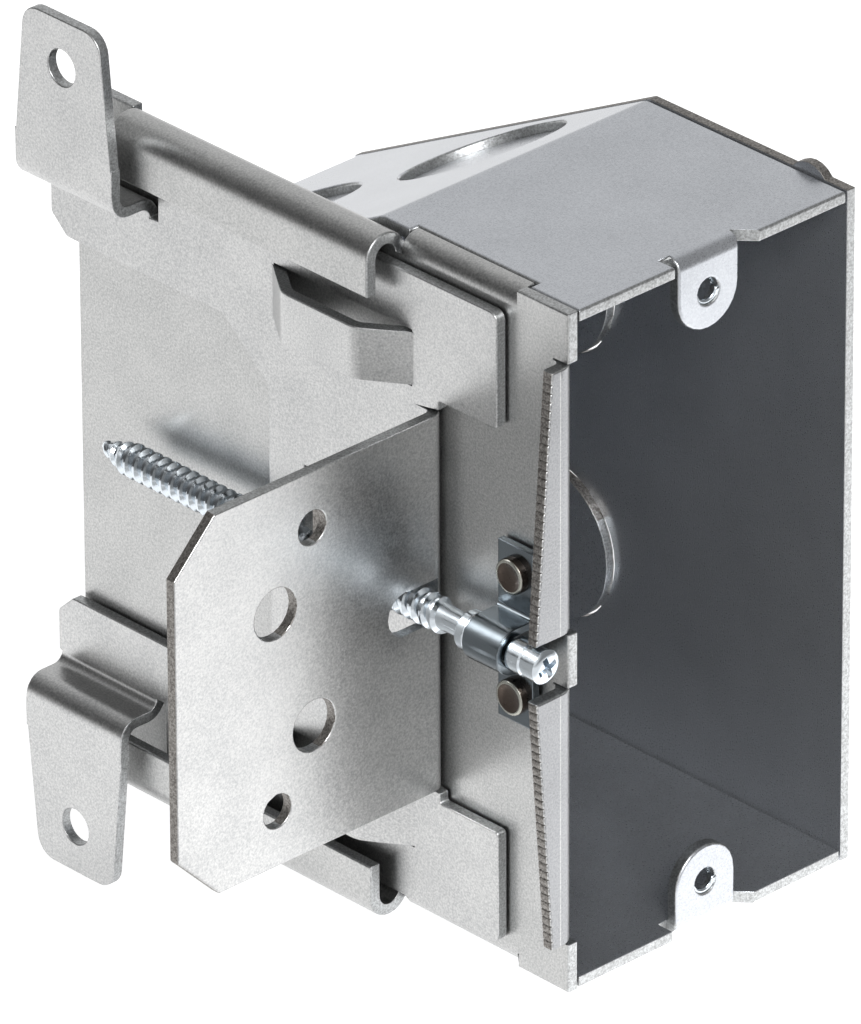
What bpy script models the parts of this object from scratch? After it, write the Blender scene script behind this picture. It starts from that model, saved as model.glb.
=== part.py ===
# Depth adjustable steel outlet box for new work.
# A sheet steel box slides in two hooked rails on a bracket that is nailed to a wall stud,
# and one long screw in a riveted keeper sets how far the box stands in front of the stud.
#
# Lengths are in metres. The origin lies on the back of the nailing flange, the face that
# bears on the front of the stud. +X points to the box, +Y into the wall, +Z up.

import math

import bpy
import bmesh
from mathutils import Matrix, Vector

# Box sizes
BOX_WIDTH = 0.0495
BOX_HEIGHT = 0.09525
BOX_DEPTH = 0.0890
TOP_FLAT = 0.0350
BEVEL_REAR = 0.0200
BOX_SHEET = 0.0016
SHELL_BEND = 0.0022
DEVICE_TAB_BEND = 0.0010

# Bracket sizes
BRACKET_SHEET = 0.0015
FLANGE_REACH = 0.0442
FLANGE_HEIGHT = 0.0530
FLANGE_CORNER = 0.0068
NAIL_ROW_NEAR = 0.0212
NAIL_ROW_FAR = 0.0275
LARGE_HOLE_UP = 0.0090
LARGE_HOLE_RADIUS = 0.0035
SMALL_HOLE_UP = 0.0187
SMALL_HOLE_RADIUS = 0.0023
SLOT_REACH = 0.0085
SLOT_SPARE = 0.0003
MOUNT_TO_BEND = 0.0240
FLANGE_SETBACK = 0.0212
EAR_REACH = 0.0107
EAR_INNER = 0.0284
PLATE_REAR = 0.0520
ARM_WIDTH = 0.0183
ARM_REAR = 0.0920
DIAGONAL = 0.0070
TONGUE_REAR = 0.0720

# Stud tabs at the rear ends of the bracket's arms
TAB_FRONT = 0.0735
TAB_REAR = 0.0915
TAB_TAPER = 0.0020
TAB_REACH = 0.0237
TAB_OFFSET = 0.0063
WEB_DROP = 0.0070
TAB_BEND = 0.0021
TAB_HOLE_REACH = 0.0170
TAB_HOLE_RADIUS = 0.0025

# Rails of the box
RAIL_FRONT = 0.0305
RAIL_SHORT = 0.0115
RAIL_RISE = 0.000575
RAIL_HOOK = 0.0080
RAIL_ROOM = 0.0023
RAIL_GAP = 0.0016
RAIL_RELIEF = 0.0008

# Lap flange of the mounting wall and its front corners
LAP_START = 0.0090
LAP_REACH = 0.0014
LAP_BEND = 0.0018

# Wedge flange bent out from the front edge
WEDGE_DROP = 0.007125
WEDGE_WIDE = 0.0054
WEDGE_NARROW = 0.0027
WEDGE_BEND = 0.0016
NOTCH_SPARE = 0.0029

# Device tabs: in a 95.25 mm box this drop puts the 6-32 screw holes 83.34 mm apart
DEVICE_DROP = 0.005955
DEVICE_HOLE_RADIUS = 0.00175
DEVICE_TAB_WIDTH = 0.0103
DEVICE_TAB_SETBACK = 0.0008
RELIEF_DEPTH = 0.0026
RELIEF_WIDTH = 0.0014
NOTCH_SLOPE = 0.0024

# Adjusting screw and its keeper
SCREW_UP = 0.0007
THREAD_RADIUS = 0.0023
SHANK_RADIUS = 0.0016
HEAD_RADIUS = 0.0024
HEAD_NECK = 0.0003
NOSE_LENGTH = 0.0026
NECK_LENGTH = 0.0004
SCREW_FRONT = -0.0010
SCREW_TIP = 0.0800
THREAD_START = 0.0167
KEEPER_SHEET = 0.0011
KEEPER_FRONT = 0.0048
KEEPER_WIDTH = 0.0063
FOOT_REACH = 0.0124
BARREL_RADIUS = 0.0021
COLLAR_LENGTH = 0.0018
COLLAR_RADIUS = 0.0027
RIVET_UP = 0.0085
RIVET_RADIUS = 0.0024
RIVET_SHANK = 0.0014
NUT_TAB_FRONT = 0.0360
NUT_WINDOW_REAR = 0.0455
NUT_TAB_HALF = 0.0092
NUT_TAB_LAND = 0.0009

# Bridges lanced out of the bracket
BRIDGE_FRONT = 0.0258
BRIDGE_REAR = 0.0507
BRIDGE_DROP = 0.0080
BRIDGE_WIDTH = 0.0073
BRIDGE_OUT = 0.0044
BRIDGE_RAMP = 0.0062

# Knockouts for half inch conduit fittings
KNOCKOUT_RADIUS = 0.0111
KNOCKOUT_PUSH = 0.0012
KNOCKOUT_SHEAR = 0.0002
TIE_WIDTH = 0.0024
TIE_ANGLES = (32, -48)
SIDE_KNOCKOUT_DEPTH = 0.0522
SIDE_KNOCKOUTS_UP = (0.0170, -0.0212)
BEVEL_KNOCKOUTS = ((0.0095, 0.0180), (-0.0070, 0.0405))
BACK_KNOCKOUT_UP = -0.0140
GROUND_HOLE_RADIUS = 0.0021
GROUND_HOLE_SIDE = 0.0165

# Half round ear on the far wall
EAR_DEPTH = 0.0068
EAR_RADIUS = 0.0036
EAR_LIFT = 0.0014

# Clearances
PLAY = 0.0003
SEAM = 0.0003
SEAT = 0.0003
BEND_STEPS = 6
ROUND_STEPS = 32
PASS = 0.002

# Places that follow from the sizes
HALF_HEIGHT = BOX_HEIGHT / 2
HALF_WIDTH = BOX_WIDTH / 2
FLANGE_HALF = FLANGE_HEIGHT / 2
RAIL_TOP = HALF_HEIGHT + RAIL_RISE
RAIL_LIP = RAIL_TOP - RAIL_HOOK
RAIL_REAR = BOX_DEPTH - RAIL_SHORT
PLATE_HALF = RAIL_TOP - BOX_SHEET - RAIL_ROOM
ARM_INNER = PLATE_HALF - ARM_WIDTH
WEB_LEVEL = PLATE_HALF - WEB_DROP
TAB_TIP = WEB_LEVEL + TAB_REACH
TAB_HOLE_UP = WEB_LEVEL + TAB_HOLE_REACH
BRIDGE_HIGH = PLATE_HALF - BRIDGE_DROP
BRIDGE_LOW = BRIDGE_HIGH - BRIDGE_WIDTH
WEDGE_END = HALF_HEIGHT - WEDGE_DROP
PLATE_OUTER = MOUNT_TO_BEND
PLATE_INNER = PLATE_OUTER + BRACKET_SHEET
WALL_OUTER = PLATE_INNER + PLAY
BOX_MIDDLE = WALL_OUTER + HALF_WIDTH
BOX_FRONT = -(FLANGE_SETBACK + BRACKET_SHEET)
SCREW_X = PLATE_OUTER - THREAD_RADIUS - PLAY
NOTCH_TOP = SCREW_UP + HEAD_RADIUS + PLAY
NOTCH_BOTTOM = SCREW_UP - HEAD_RADIUS - NOTCH_SPARE
RAIL_PITCH = PLAY + BRACKET_SHEET + RAIL_GAP
RAIL_BEND = (RAIL_PITCH + BOX_SHEET) / 2
SHELL_HALF = HALF_WIDTH - BOX_SHEET - SEAM
BEVEL_RUN = BOX_DEPTH - TOP_FLAT
BEVEL_DROP = HALF_HEIGHT - BEVEL_REAR
BEVEL_ANGLE = math.atan2(BEVEL_DROP, BEVEL_RUN)


def clear_scene():
    for old in list(bpy.data.objects):
        bpy.data.objects.remove(old)


def new_collection(name):
    made = bpy.data.collections.new(name)
    bpy.context.scene.collection.children.link(made)
    return made


clear_scene()
PARTS = new_collection("outlet_box")
CUTTERS = new_collection("cutters")


def new_material(name, colour, roughness, metallic):
    made = bpy.data.materials.new(name)
    made.use_nodes = True
    shader = made.node_tree.nodes["Principled BSDF"]
    shader.inputs["Base Color"].default_value = (*colour, 1.0)
    shader.inputs["Roughness"].default_value = roughness
    shader.inputs["Metallic"].default_value = metallic
    return made


def new_empty(name, location):
    made = bpy.data.objects.new(name, None)
    made.location = location
    PARTS.objects.link(made)
    return made


# The slide carries the box: its pieces are modelled in its frame, with X = 0 at the middle
# of the box, Y = 0 at the front edge and Z = 0 at mid height.
BOX = new_empty("box_slide", (BOX_MIDDLE, BOX_FRONT, 0.0))
# The stand holds the fixed bracket in the same depth scale, with X = 0 at the flange mount.
STUD = new_empty("stud_frame", (0.0, BOX_FRONT, 0.0))


def as_helper(piece):
    """Puts a cutter or a joined shape out of the render."""
    PARTS.objects.unlink(piece)
    CUTTERS.objects.link(piece)
    piece.hide_render = True
    piece.display_type = "WIRE"
    return piece


def add_mesh(name, mesh, parent, basis):
    piece = bpy.data.objects.new(name, mesh)
    PARTS.objects.link(piece)
    piece.parent = parent
    piece.matrix_basis = basis
    return piece


def plane_basis(plane):
    """Turns a drawing in the local XY plane into one of the three main planes."""
    columns = {
        "YZ": ((0, 1, 0), (0, 0, 1), (1, 0, 0)),
        "XZ": ((1, 0, 0), (0, 0, 1), (0, -1, 0)),
        "XY": ((1, 0, 0), (0, 1, 0), (0, 0, 1)),
    }[plane]
    return Matrix(columns).transposed().to_4x4()


def extruded(name, loops, plane, low, high, parent):
    """A flat outline, with any holes in it, given a thickness across its plane."""
    curve = bpy.data.curves.new(name, "CURVE")
    curve.dimensions = "2D"
    curve.fill_mode = "BOTH"
    curve.extrude = (high - low) / 2
    for loop in loops:
        spline = curve.splines.new("POLY")
        spline.points.add(len(loop) - 1)
        for point, (x, y) in zip(spline.points, loop):
            point.co = (x, y, 0.0, 1.0)
        spline.use_cyclic_u = True
    drawing = bpy.data.objects.new(name + "_drawing", curve)
    bpy.context.scene.collection.objects.link(drawing)
    graph = bpy.context.evaluated_depsgraph_get()
    mesh = bpy.data.meshes.new_from_object(drawing.evaluated_get(graph))
    bpy.data.objects.remove(drawing)
    shape = bmesh.new()
    shape.from_mesh(mesh)
    bmesh.ops.remove_doubles(shape, verts=shape.verts, dist=1e-6)
    bmesh.ops.recalc_face_normals(shape, faces=shape.faces)
    shape.to_mesh(mesh)
    shape.free()
    basis = plane_basis(plane)
    along = Vector((0, 1, 0)) if plane == "XZ" else basis.col[2].to_3d()
    basis.translation = along * (low + high) / 2
    return add_mesh(name, mesh, parent, basis)


def corner_arc(before, corner, after, radius, steps):
    """Points of the round that replaces a corner, as (x, y) pairs."""
    corner = Vector(corner)
    inward = (corner - Vector(before)).normalized()
    outward = (Vector(after) - corner).normalized()
    turn = inward.angle_signed(outward)
    if radius <= 0 or abs(turn) < 1e-6:
        return [tuple(corner)]
    start = corner - inward * radius * abs(math.tan(turn / 2))
    side = -1 if turn > 0 else 1
    centre = start + Vector((-inward.y, inward.x)) * radius * side
    first = start - centre
    points = []
    for step in range(steps + 1):
        rotated = first.copy()
        rotated.rotate(Matrix.Rotation(-turn * step / steps, 2))
        points.append(tuple(centre + rotated))
    return points


def rounded(corners, steps=BEND_STEPS):
    """A closed outline from (x, y, radius) corners."""
    outline = []
    count = len(corners)
    for index, (x, y, radius) in enumerate(corners):
        before = corners[index - 1][:2]
        after = corners[(index + 1) % count][:2]
        outline += corner_arc(before, (x, y), after, radius, steps)
    return outline


def folded(path, bends, sheet, steps=BEND_STEPS):
    """The closed outline of a sheet seen on edge, folded along a middle line."""
    middle = [tuple(path[0])]
    for index, bend in enumerate(bends):
        middle += corner_arc(path[index], path[index + 1], path[index + 2], bend, steps)
    middle.append(tuple(path[-1]))
    middle = [here for here, ahead in zip(middle, middle[1:]) if math.dist(here, ahead) > 1e-6]
    middle.append(tuple(path[-1]))
    left = []
    right = []
    for index, point in enumerate(middle):
        here = Vector(point)
        back = here - Vector(middle[index - 1]) if index else None
        ahead = Vector(middle[index + 1]) - here if index + 1 < len(middle) else None
        back = back.normalized() if back else ahead.normalized()
        ahead = ahead.normalized() if ahead else back
        across = Vector((-(back + ahead).y, (back + ahead).x)).normalized()
        reach = sheet / 2 / max(across.dot(Vector((-back.y, back.x))), 0.5)
        left.append(tuple(here + across * reach))
        right.append(tuple(here - across * reach))
    return left + right[::-1]


def circle(x, y, radius, steps=ROUND_STEPS):
    turn = 2 * math.pi / steps
    return [(x + radius * math.cos(turn * i), y + radius * math.sin(turn * i)) for i in range(steps)]


def mirrored(corners):
    """The lower half of an outline whose upper half is given from front to rear."""
    return [(corner[0], -corner[1], *corner[2:]) for corner in corners[::-1]]


def combine(piece, helper, operation):
    """Joins a shape to a piece, or cuts it out of the piece."""
    as_helper(helper)
    modifier = piece.modifiers.new(helper.name, "BOOLEAN")
    modifier.operation = operation
    modifier.solver = "EXACT"
    modifier.object = helper
    return piece


def join(piece, helper):
    return combine(piece, helper, "UNION")


def cut(piece, helper):
    return combine(piece, helper, "DIFFERENCE")


def cylinder(name, radius, low, high, parent, basis, steps=ROUND_STEPS):
    """A cylinder along the local Z axis of a basis."""
    mesh = bpy.data.meshes.new(name)
    shape = bmesh.new()
    bmesh.ops.create_cone(
        shape, cap_ends=True, segments=steps, radius1=radius, radius2=radius, depth=high - low
    )
    shape.to_mesh(mesh)
    shape.free()
    return add_mesh(name, mesh, parent, basis @ Matrix.Translation((0, 0, (low + high) / 2)))


def block(name, size, parent, basis):
    """A box of a given size about the origin of a basis."""
    mesh = bpy.data.meshes.new(name)
    shape = bmesh.new()
    bmesh.ops.create_cube(shape, size=1.0)
    bmesh.ops.scale(shape, vec=Vector(size), verts=shape.verts)
    shape.to_mesh(mesh)
    shape.free()
    return add_mesh(name, mesh, parent, basis)


def along_axis(axis, location):
    """A basis whose local Z axis points along +X or +Y."""
    if axis == "X":
        turn = Matrix.Rotation(math.radians(90), 4, "Y")
    else:
        turn = Matrix.Rotation(math.radians(-90), 4, "X")
    return Matrix.Translation(location) @ turn


def turned(name, profile, parent, basis, steps=ROUND_STEPS):
    """A round piece: a profile of (radius, height) pairs, top to bottom, spun by a Screw."""
    mesh = bpy.data.meshes.new(name)
    edges = [(i, i + 1) for i in range(len(profile) - 1)]
    mesh.from_pydata([(radius, 0.0, height) for radius, height in profile], edges, [])
    piece = add_mesh(name, mesh, parent, basis)
    spin = piece.modifiers.new("spin", "SCREW")
    spin.steps = steps
    spin.render_steps = steps
    spin.use_merge_vertices = True
    spin.merge_threshold = 0.000001
    spin.use_normal_calculate = False
    return piece


def knockout(piece, name, parent, basis):
    """A round slug sheared from the sheet, pushed inward and held by two ties.

    The basis stands on the outer face, with local Z pointing out of the box.
    """
    slug_radius = KNOCKOUT_RADIUS - KNOCKOUT_SHEAR
    inner = -BOX_SHEET
    cut(piece, cylinder(name + "_hole", KNOCKOUT_RADIUS, inner - PASS, PASS, parent, basis))
    slug = cylinder(
        name + "_slug", slug_radius, inner - KNOCKOUT_PUSH, -KNOCKOUT_PUSH, parent, basis
    )
    join(piece, slug)
    for index, angle in enumerate(TIE_ANGLES):
        turn = Matrix.Rotation(math.radians(angle), 4, "Z")
        spot = Matrix.Translation((KNOCKOUT_RADIUS, 0, (inner - KNOCKOUT_PUSH) / 2))
        height = 0.75 * (BOX_SHEET - KNOCKOUT_PUSH)
        size = (TIE_WIDTH, TIE_WIDTH, height)
        join(piece, block(f"{name}_tie_{index}", size, parent, basis @ turn @ spot))


def side_outline(inset=0.0):
    """Corners of the box seen from the side: flat top, rear bevel, back and flat bottom."""
    slope = inset * math.tan(BEVEL_ANGLE / 2)
    back_slope = inset * math.tan((math.pi / 2 - BEVEL_ANGLE) / 2)
    return [
        (0.0, HALF_HEIGHT - inset),
        (TOP_FLAT - slope, HALF_HEIGHT - inset),
        (BOX_DEPTH - inset, BEVEL_REAR - back_slope),
        (BOX_DEPTH - inset, inset - HALF_HEIGHT),
        (0.0, inset - HALF_HEIGHT),
    ]


def face_basis(out, forward, spot):
    """A basis with local Z pointing out of a face and local X to the front of the box."""
    out = Vector(out)
    forward = Vector(forward)
    basis = Matrix((forward, out.cross(forward), out)).transposed().to_4x4()
    basis.translation = spot
    return basis


def bevel_basis(run, side):
    """A basis on the outer face of the rear bevel, a run down it from its upper edge."""
    depth = TOP_FLAT + run * math.cos(BEVEL_ANGLE)
    height = HALF_HEIGHT - run * math.sin(BEVEL_ANGLE)
    out = (0, math.sin(BEVEL_ANGLE), math.cos(BEVEL_ANGLE))
    forward = (0, -math.cos(BEVEL_ANGLE), math.sin(BEVEL_ANGLE))
    return face_basis(out, forward, (side, depth, height))


def device_tab(shell, sign, label):
    """A tab folded in from the front edge, round about the hole of a device screw."""
    hole_up = HALF_HEIGHT - DEVICE_DROP
    half = DEVICE_TAB_WIDTH / 2
    rear = DEVICE_TAB_SETBACK + BOX_SHEET
    middle = DEVICE_TAB_SETBACK + BOX_SHEET / 2
    top = HALF_HEIGHT - BOX_SHEET / 2
    flat = HALF_HEIGHT - DEVICE_TAB_BEND - BOX_SHEET / 2
    path = [
        (RELIEF_DEPTH + PASS, sign * top),
        (middle, sign * top),
        (middle, sign * (flat - PASS / 4)),
    ]
    strip = folded(path, [DEVICE_TAB_BEND], BOX_SHEET)
    join(shell, extruded(f"{label}_fold", [strip], "YZ", -half, half, BOX))
    outline = [(half, sign * flat), (-half, sign * flat)]
    for step in range(2 * BEND_STEPS + 1):
        angle = math.pi * step / (2 * BEND_STEPS)
        outline.append((-half * math.cos(angle), sign * (hole_up - half * math.sin(angle))))
    tab = extruded(f"{label}_tab", [outline], "XZ", DEVICE_TAB_SETBACK, rear, BOX)
    join(shell, tab)
    hole = along_axis("Y", (0.0, 0.0, sign * hole_up))
    cut(shell, cylinder(f"{label}_hole", DEVICE_HOLE_RADIUS, -PASS, rear + PASS, BOX, hole, 24))


def front_notches(shell, sign, label):
    """The front edge set back to the reliefs on both sides of the device tab."""
    half = DEVICE_TAB_WIDTH / 2
    foot = half + SEAM
    outline = [
        (-half - RELIEF_WIDTH, -PASS),
        (-half - RELIEF_WIDTH, RELIEF_DEPTH),
        (foot, RELIEF_DEPTH),
        (foot + NOTCH_SLOPE, 0.0),
        (foot + NOTCH_SLOPE, -PASS),
    ]
    low, high = sorted((sign * (HALF_HEIGHT - BOX_SHEET - PASS), sign * (HALF_HEIGHT + PASS)))
    cut(shell, extruded(f"{label}_relief", [outline], "XY", low, high, BOX))


def lap_notch(shell, sign, label):
    """The side edge set back where the mounting wall laps over it."""
    edge = -HALF_WIDTH + BOX_SHEET + LAP_REACH + SEAM
    outline = [
        (-HALF_WIDTH, LAP_START - SEAM),
        (edge, LAP_START - SEAM),
        (edge, RAIL_FRONT - RAIL_RELIEF + SEAM),
        (-HALF_WIDTH, RAIL_FRONT - RAIL_RELIEF + SEAM),
    ]
    low, high = sorted((sign * (HALF_HEIGHT - BOX_SHEET - PASS), sign * (HALF_HEIGHT + PASS)))
    cut(shell, extruded(f"{label}_lap_notch", [outline], "XY", low, high, BOX))


def box_shell():
    """Top, rear bevel, back and bottom of the box, folded from one strip."""
    half = BOX_SHEET / 2
    strip = folded(side_outline(half), [SHELL_BEND, SHELL_BEND, SHELL_BEND], BOX_SHEET)
    shell = extruded("box_shell", [strip], "YZ", -SHELL_HALF, SHELL_HALF, BOX)
    for sign, label in ((1, "upper"), (-1, "lower")):
        front_notches(shell, sign, label)
        device_tab(shell, sign, label)
        lap_notch(shell, sign, label)
    for index, (side, run) in enumerate(BEVEL_KNOCKOUTS):
        knockout(shell, f"bevel_knockout_{index}", BOX, bevel_basis(run, side))
    back = face_basis((0, 1, 0), (0, 0, 1), (0.0, BOX_DEPTH, BACK_KNOCKOUT_UP))
    knockout(shell, "back_knockout", BOX, back)
    ground = along_axis("Y", (GROUND_HOLE_SIDE, BOX_DEPTH, BACK_KNOCKOUT_UP))
    cut(shell, cylinder("ground_hole", GROUND_HOLE_RADIUS, -BOX_SHEET - PASS, PASS, BOX, ground, 20))
    return shell


def far_side_wall():
    """The flat wall away from the stud, with two knockouts and a half round ear."""
    low = HALF_HEIGHT - (EAR_RADIUS - EAR_LIFT)
    half_chord = math.sqrt(EAR_RADIUS ** 2 - (EAR_RADIUS - EAR_LIFT) ** 2)
    start = math.acos(half_chord / EAR_RADIUS)
    ear = []
    for step in range(BEND_STEPS + 1):
        angle = math.pi - start - (math.pi - 2 * start) * step / BEND_STEPS
        ear.append((EAR_DEPTH + EAR_RADIUS * math.cos(angle), low + EAR_RADIUS * math.sin(angle)))
    corners = side_outline()
    outline = [corners[0]] + ear + corners[1:]
    wall = extruded("far_side_wall", [outline], "YZ", HALF_WIDTH - BOX_SHEET, HALF_WIDTH, BOX)
    for index, height in enumerate(SIDE_KNOCKOUTS_UP):
        basis = face_basis((1, 0, 0), (0, -1, 0), (HALF_WIDTH, SIDE_KNOCKOUT_DEPTH, height))
        knockout(wall, f"side_knockout_{index}", BOX, basis)
    return wall


def wall_plate():
    """The flat of the mounting wall, set back where bends start, with a slit at each end of the flange."""
    flat = HALF_HEIGHT - LAP_BEND - BOX_SHEET / 2
    root = WEDGE_BEND + BOX_SHEET / 2 + SEAM
    rear_zone = RAIL_REAR + RAIL_RELIEF
    outline = [
        (root, NOTCH_TOP - SEAM),
        (root, WEDGE_END + SEAM),
        (0.0, WEDGE_END + SEAM),
        (0.0, HALF_HEIGHT),
        (LAP_START, HALF_HEIGHT),
        (LAP_START, flat),
        (rear_zone, flat),
        (rear_zone, HALF_HEIGHT),
        (BOX_DEPTH, HALF_HEIGHT),
    ]
    lower = mirrored(outline)
    lower[-1] = (root, NOTCH_BOTTOM + SEAM)
    front = [(0.0, NOTCH_BOTTOM + SEAM), (0.0, NOTCH_TOP - SEAM)]
    return extruded(
        "mount_side_wall", [front + outline + lower],
        "YZ", -HALF_WIDTH, -HALF_WIDTH + BOX_SHEET, BOX,
    )


def rail(wall, sign, label):
    """The hook that runs over the edge of the bracket's plate."""
    middle = -HALF_WIDTH + BOX_SHEET / 2
    crest = sign * (RAIL_TOP - BOX_SHEET / 2)
    path = [
        (middle, sign * ARM_INNER),
        (middle, crest),
        (middle - 2 * RAIL_BEND, crest),
        (middle - 2 * RAIL_BEND, sign * RAIL_LIP),
    ]
    hook = folded(path, [RAIL_BEND, RAIL_BEND], BOX_SHEET)
    join(wall, extruded(f"{label}_rail", [hook], "XZ", RAIL_FRONT, RAIL_REAR, BOX))


def lap_flange(wall, sign, label):
    """The wall's edge folded in over the side of the box shell."""
    middle = -HALF_WIDTH + BOX_SHEET / 2
    level = sign * (HALF_HEIGHT - BOX_SHEET / 2)
    path = [(middle, sign * ARM_INNER), (middle, level), (-HALF_WIDTH + BOX_SHEET + LAP_REACH, level)]
    lap = folded(path, [LAP_BEND], BOX_SHEET)
    join(wall, extruded(f"{label}_lap", [lap], "XZ", LAP_START, RAIL_FRONT - RAIL_RELIEF, BOX))


def wedge_flange(wall, sign, label):
    """The flange bent out from the front edge, widest beside the screw."""
    middle = -HALF_WIDTH + BOX_SHEET / 2
    near = NOTCH_TOP if sign > 0 else -NOTCH_BOTTOM
    outer = -HALF_WIDTH - WEDGE_WIDE
    path = [(middle, LAP_START), (middle, BOX_SHEET / 2), (outer, BOX_SHEET / 2)]
    strip = folded(path, [WEDGE_BEND], BOX_SHEET)
    low, high = sorted((sign * near, sign * WEDGE_END))
    flange = extruded(f"{label}_wedge", [strip], "XY", low, high, BOX)
    join(wall, flange)
    spare = [
        (outer - PASS, sign * near),
        (outer, sign * near),
        (-HALF_WIDTH - WEDGE_NARROW, sign * (WEDGE_END + SEAM)),
        (outer - PASS, sign * (WEDGE_END + SEAM)),
    ]
    cut(wall, extruded(f"{label}_wedge_trim", [spare], "XZ", -PASS, BOX_SHEET + PASS / 2, BOX))


def rivet_places():
    return [("upper", SCREW_UP + RIVET_UP), ("lower", SCREW_UP - RIVET_UP)]


def mount_side_wall():
    """The wall on the stud side, with its rails, lap flanges, wedge flange and rivet holes."""
    wall = wall_plate()
    for sign, label in ((1, "upper"), (-1, "lower")):
        rail(wall, sign, label)
        lap_flange(wall, sign, label)
        wedge_flange(wall, sign, label)
    for label, height in rivet_places():
        spot = along_axis("X", (-HALF_WIDTH, KEEPER_FRONT + KEEPER_WIDTH / 2, height))
        radius = RIVET_SHANK + SEAT
        cut(wall, cylinder(f"{label}_rivet_hole", radius, -PASS, BOX_SHEET + PASS, BOX, spot, 20))
    return wall


def screw_keeper():
    """The strap that is riveted over the screw and keeps it from moving along its axis."""
    axis = SCREW_X - BOX_MIDDLE
    foot = -HALF_WIDTH - SEAT - KEEPER_SHEET / 2
    arch = BARREL_RADIUS + KEEPER_SHEET / 2
    top = SCREW_UP + arch
    low = SCREW_UP - arch
    out = axis - arch
    path = [
        (foot, SCREW_UP + FOOT_REACH), (foot, top), (out, top),
        (out, low), (foot, low), (foot, SCREW_UP - FOOT_REACH),
    ]
    bends = [KEEPER_SHEET, arch, arch, KEEPER_SHEET]
    strap = folded(path, bends, KEEPER_SHEET)
    rear = KEEPER_FRONT + KEEPER_WIDTH
    keeper = extruded("screw_keeper", [strap], "XZ", KEEPER_FRONT, rear, BOX)
    for label, height in rivet_places():
        spot = along_axis("X", (foot, KEEPER_FRONT + KEEPER_WIDTH / 2, height))
        radius = RIVET_SHANK + SEAT
        cut(keeper, cylinder(f"{label}_foot_hole", radius, -PASS, PASS, BOX, spot, 20))
    return keeper


def keeper_rivet(label, height):
    """A domed rivet through the keeper's foot and the wall, clenched inside the box."""
    grip = BOX_SHEET + SEAT + KEEPER_SHEET + 2 * SEAT
    dome = 0.0009
    button = 0.0007
    profile = [(0.0, dome)]
    for step in range(1, BEND_STEPS):
        angle = math.pi / 2 * step / BEND_STEPS
        profile.append((RIVET_RADIUS * math.sin(angle), dome * math.cos(angle)))
    profile += [
        (RIVET_RADIUS, 0.0),
        (RIVET_SHANK, 0.0),
        (RIVET_SHANK, -grip),
        (RIVET_RADIUS * 0.9, -grip),
        (RIVET_RADIUS * 0.8, -grip - button),
        (0.0, -grip - button),
    ]
    face = -HALF_WIDTH - SEAT - KEEPER_SHEET - SEAT
    turn = Matrix.Rotation(math.radians(-90), 4, "Y")
    basis = Matrix.Translation((face, KEEPER_FRONT + KEEPER_WIDTH / 2, height)) @ turn
    return turned(f"keeper_rivet_{label}", profile, BOX, basis, 24)


def screw_basis():
    """A basis on the screw's axis at the box front, with local Z pointing out of the wall."""
    turn = Matrix.Rotation(math.radians(90), 4, "X")
    return Matrix.Translation((SCREW_X - BOX_MIDDLE, 0.0, SCREW_UP)) @ turn


def adjusting_screw():
    """The long screw, with its driven end at the front and its point at the rear."""
    neck = SCREW_FRONT + NOSE_LENGTH
    body = neck + NECK_LENGTH
    head = KEEPER_FRONT - SEAT
    edge = HEAD_RADIUS - HEAD_NECK
    profile = [
        (0.0, -SCREW_FRONT),
        (edge, -SCREW_FRONT),
        (HEAD_RADIUS, -SCREW_FRONT - HEAD_NECK),
        (HEAD_RADIUS, -neck),
        (edge, -neck),
        (edge, -body),
        (HEAD_RADIUS, -body),
        (HEAD_RADIUS, -head),
        (SHANK_RADIUS, -head),
        (SHANK_RADIUS, -THREAD_START),
        (THREAD_RADIUS, -THREAD_START - (THREAD_RADIUS - SHANK_RADIUS)),
        (THREAD_RADIUS, 2 * THREAD_RADIUS - SCREW_TIP),
        (THREAD_RADIUS / 3, -SCREW_TIP + THREAD_RADIUS / 4),
        (0.0, -SCREW_TIP),
    ]
    return turned("adjusting_screw", profile, BOX, screw_basis())


def screw_collar():
    """The ring crimped on the shank behind the keeper."""
    front = KEEPER_FRONT + KEEPER_WIDTH + SEAT
    rear = front + COLLAR_LENGTH
    inner = SHANK_RADIUS + SEAT
    chamfer = 0.0003
    profile = [
        (inner, -front),
        (COLLAR_RADIUS - chamfer, -front),
        (COLLAR_RADIUS, -front - chamfer),
        (COLLAR_RADIUS, -rear + chamfer),
        (COLLAR_RADIUS - chamfer, -rear),
        (inner, -rear),
        (inner, -front),
    ]
    return turned("screw_collar", profile, BOX, screw_basis())


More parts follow.
